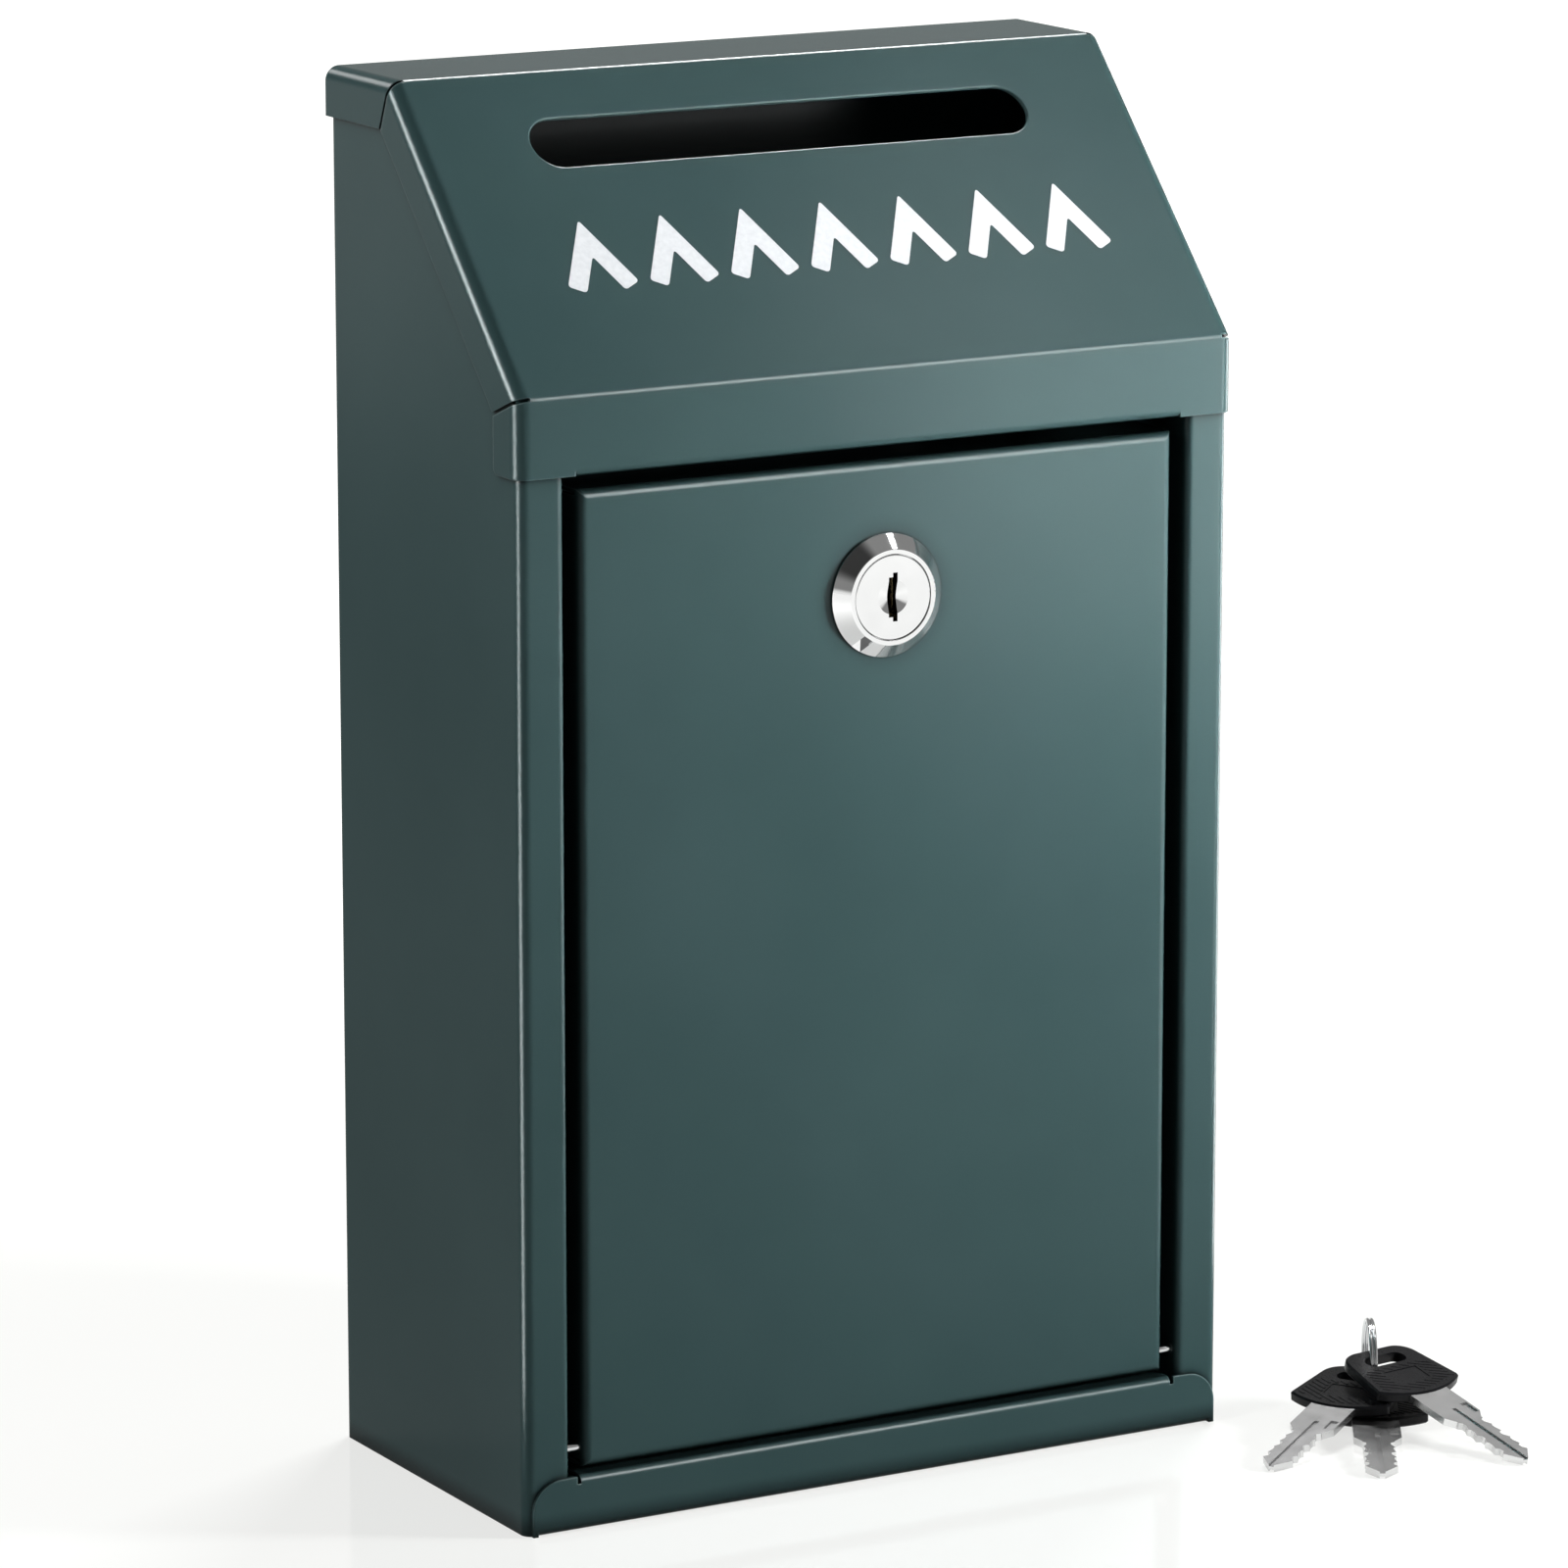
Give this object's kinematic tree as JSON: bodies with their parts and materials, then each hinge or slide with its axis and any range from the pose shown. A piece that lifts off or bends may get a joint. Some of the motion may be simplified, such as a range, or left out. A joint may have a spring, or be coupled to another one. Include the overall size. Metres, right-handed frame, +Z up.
{
  "type": "wall-mounted cash drop box",
  "caption": "Narrow folded-steel drop box with a sloping slotted hood, a drop-down door with a cam lock, and a bunch of keys on a split ring.",
  "frame": {"origin": "centre of the four wall holes, on the back face", "axes": "+Y out of the back into the wall, -Y to the door, +Z up, +X to the right of a person facing the door"},
  "size_m": [0.2187, 0.146, 0.3],
  "materials": {
    "green_powder": "dark green powder coat, satin, baked on",
    "zinc_steel": "bright zinc plate",
    "polished_chrome": "polished chrome on die-cast zinc",
    "brass": "plain brass",
    "bright_steel": "nickel-plated steel",
    "black_plastic": "moulded, semi-matte",
    "white_print": "white screen print on the powder coat"
  },
  "bodies": {
    "case": {"case_wrap": "green_powder", "floor_pan": "green_powder", "hood": "green_powder", "hinge_pin_left": "zinc_steel", "hinge_pin_right": "zinc_steel"},
    "door": {"door_panel": "green_powder", "lock_housing": "polished_chrome", "lock_nut": "zinc_steel"},
    "plug": {"lock_plug": "polished_chrome", "lock_wafers": "brass", "wafer_springs": "bright_steel", "stop_washer": "zinc_steel", "lock_cam": "zinc_steel", "cam_washer": "zinc_steel", "cam_screw": "zinc_steel"},
    "bunch": {"key_ring": "bright_steel"},
    "key_left": {"key_head_left": "black_plastic", "key_blade_left": "bright_steel"},
    "key_middle": {"key_head_middle": "black_plastic", "key_blade_middle": "bright_steel"},
    "key_right": {"key_head_right": "black_plastic", "key_blade_right": "bright_steel"}
  },
  "joints": [
    {"name": "door_hinge", "type": "hinge", "parent": "case", "child": "door", "pos_m": [0, -0.0813, -0.1329], "axis": [1, 0, 0], "range_deg": [0, 90]},
    {"name": "lock_turn", "type": "hinge", "parent": "door", "child": "plug", "pos_m": [0.001, -0.0842, 0.0426], "axis": [0, 1, 0], "range_deg": [0, 90]},
    {"name": "bunch_lift", "type": "slide", "parent": "case", "child": "bunch", "axis": [0, 0, 1], "range_m": [0, 0.15]},
    {"name": "key_left_swing", "type": "hinge", "parent": "bunch", "child": "key_left", "pos_m": [0.116, -0.101, -0.1423], "axis": [0, 0, 1], "range_deg": [-4, 4]},
    {"name": "key_middle_swing", "type": "hinge", "parent": "bunch", "child": "key_middle", "pos_m": [0.117, -0.0985, -0.1464], "axis": [0, 0, 1], "range_deg": [-4, 4]},
    {"name": "key_right_swing", "type": "hinge", "parent": "bunch", "child": "key_right", "pos_m": [0.116, -0.101, -0.1381], "axis": [0, 0, 1], "range_deg": [-4, 4]}
  ]
}
